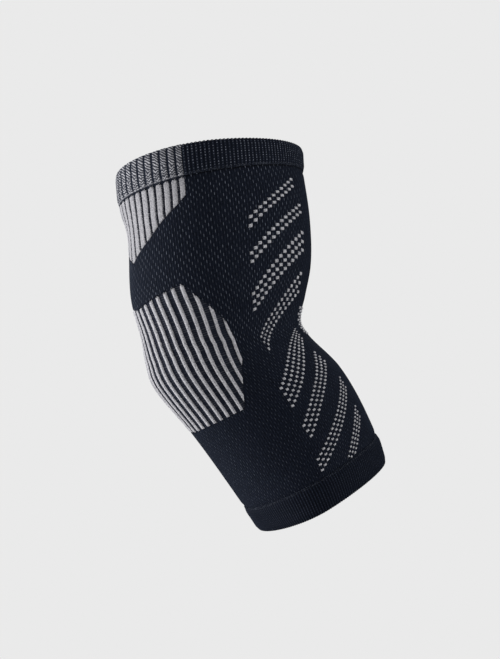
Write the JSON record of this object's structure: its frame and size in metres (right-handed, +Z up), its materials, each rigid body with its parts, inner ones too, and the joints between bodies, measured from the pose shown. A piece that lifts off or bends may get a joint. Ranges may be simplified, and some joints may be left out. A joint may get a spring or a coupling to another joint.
{
  "type": "elbow brace",
  "caption": "knitted compression sleeve for a bent elbow, with ribbed end bands, a grey ribbed shield over the point of the elbow and a grey ribbed gore behind the upper arm",
  "frame": {"origin": "the middle of the hollow at the elbow, where the arm's elbow joint sits", "axes": "+Z runs up the upper arm, +X points to the inner elbow and the forearm leaves down and forward, Y runs across the arm and the brace is mirror-symmetric about Y = 0"},
  "size_m": [0.1686, 0.1054, 0.2308],
  "materials": {
    "navy_knit": "matt navy bird's-eye knit",
    "navy_band": "matt navy ribbed knit band",
    "melange_band": "grey and black twisted knit",
    "grey_rib": "light grey ribs over a dark knit bed"
  },
  "bodies": {
    "root": {"sleeve_body": "navy_knit", "upper_band": "navy_band", "upper_band_insert": "melange_band", "upper_rib_panel": "grey_rib", "elbow_rib_panel": "grey_rib", "lower_band": "navy_band"}
  },
  "joints": []
}
